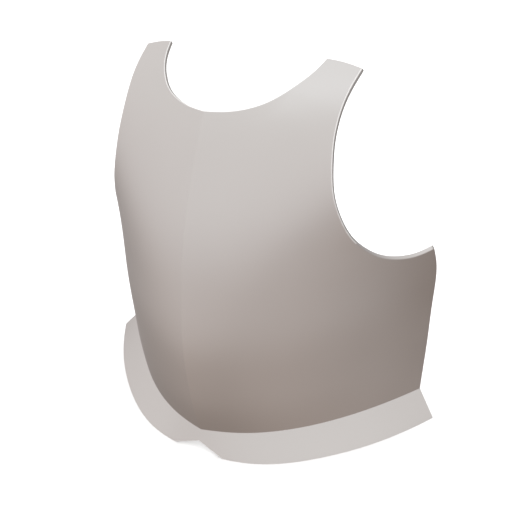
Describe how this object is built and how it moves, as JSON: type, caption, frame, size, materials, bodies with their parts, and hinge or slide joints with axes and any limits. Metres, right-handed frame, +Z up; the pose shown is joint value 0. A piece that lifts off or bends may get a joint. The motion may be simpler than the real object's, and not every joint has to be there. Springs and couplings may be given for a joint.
{
  "type": "breastplate",
  "caption": "Ridged steel breastplate with shoulder tabs, open neck and arm holes, and an outward-turned waist flange notched at the middle.",
  "frame": {"origin": "middle of the bounding box at the level of the flange's rim, where the plate stands", "axes": "+Z up, the front faces -Y, +X is to the right as seen from the front, across the width"},
  "size_m": [0.424, 0.1958, 0.4002],
  "materials": {
    "steel": "satin"
  },
  "bodies": {
    "root": {"breastplate": "steel"}
  },
  "joints": []
}
